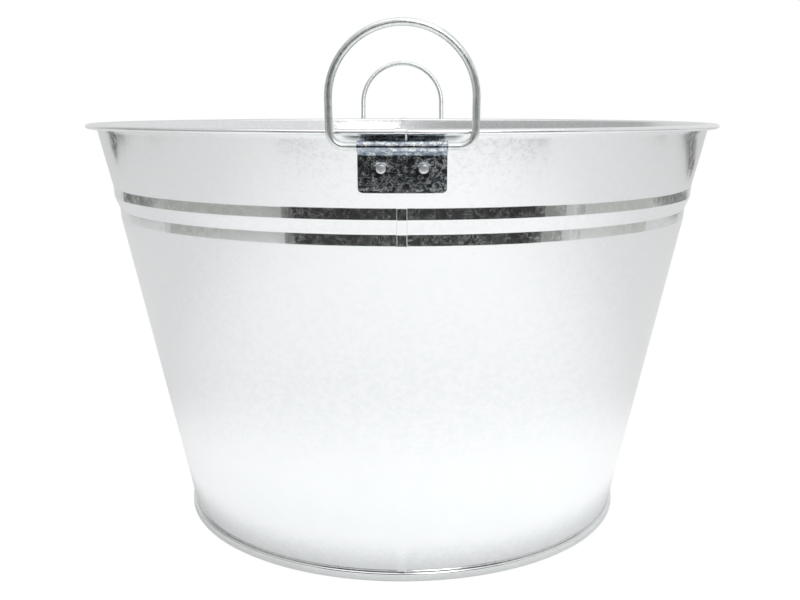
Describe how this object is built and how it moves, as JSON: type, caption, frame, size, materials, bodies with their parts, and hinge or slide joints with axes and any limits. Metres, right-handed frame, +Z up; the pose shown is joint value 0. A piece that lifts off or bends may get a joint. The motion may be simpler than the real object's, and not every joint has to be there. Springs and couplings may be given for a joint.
{
  "type": "florist bucket",
  "caption": "Round tapered sheet-metal bucket with rolled rim, stepped bands, lock seams and hinged wire ring handles, for holding cut flowers in water.",
  "frame": {"origin": "middle of the underside, where the bucket stands", "axes": "+Z up through the open mouth, -Y towards the front handle, +X to the right seen from the front"},
  "size_m": [0.38, 0.3956, 0.2872],
  "materials": {
    "zinc_wall": "satin",
    "zinc_strap": "satin",
    "zinc_rivet": "satin",
    "zinc_wire": "satin"
  },
  "bodies": {
    "bucket": {"wall_panel_right": "zinc_wall", "wall_panel_left": "zinc_wall", "bottom_pan": "zinc_wall", "bracket_front": "zinc_strap", "bracket_back": "zinc_strap", "rivet_front_left": "zinc_rivet", "rivet_front_right": "zinc_rivet", "rivet_back_left": "zinc_rivet", "rivet_back_right": "zinc_rivet"},
    "front_handle": {"ring_handle_front": "zinc_wire"},
    "back_handle": {"ring_handle_back": "zinc_wire"}
  },
  "joints": [
    {"name": "front_handle_swing", "type": "hinge", "parent": "bucket", "child": "front_handle", "pos_m": [0, -0.18879, 0.2334], "axis": [1, 0, 0], "range_deg": [0, 186]},
    {"name": "back_handle_swing", "type": "hinge", "parent": "bucket", "child": "back_handle", "pos_m": [0, 0.18879, 0.2334], "axis": [-1, 0, 0], "range_deg": [0, 186]}
  ]
}
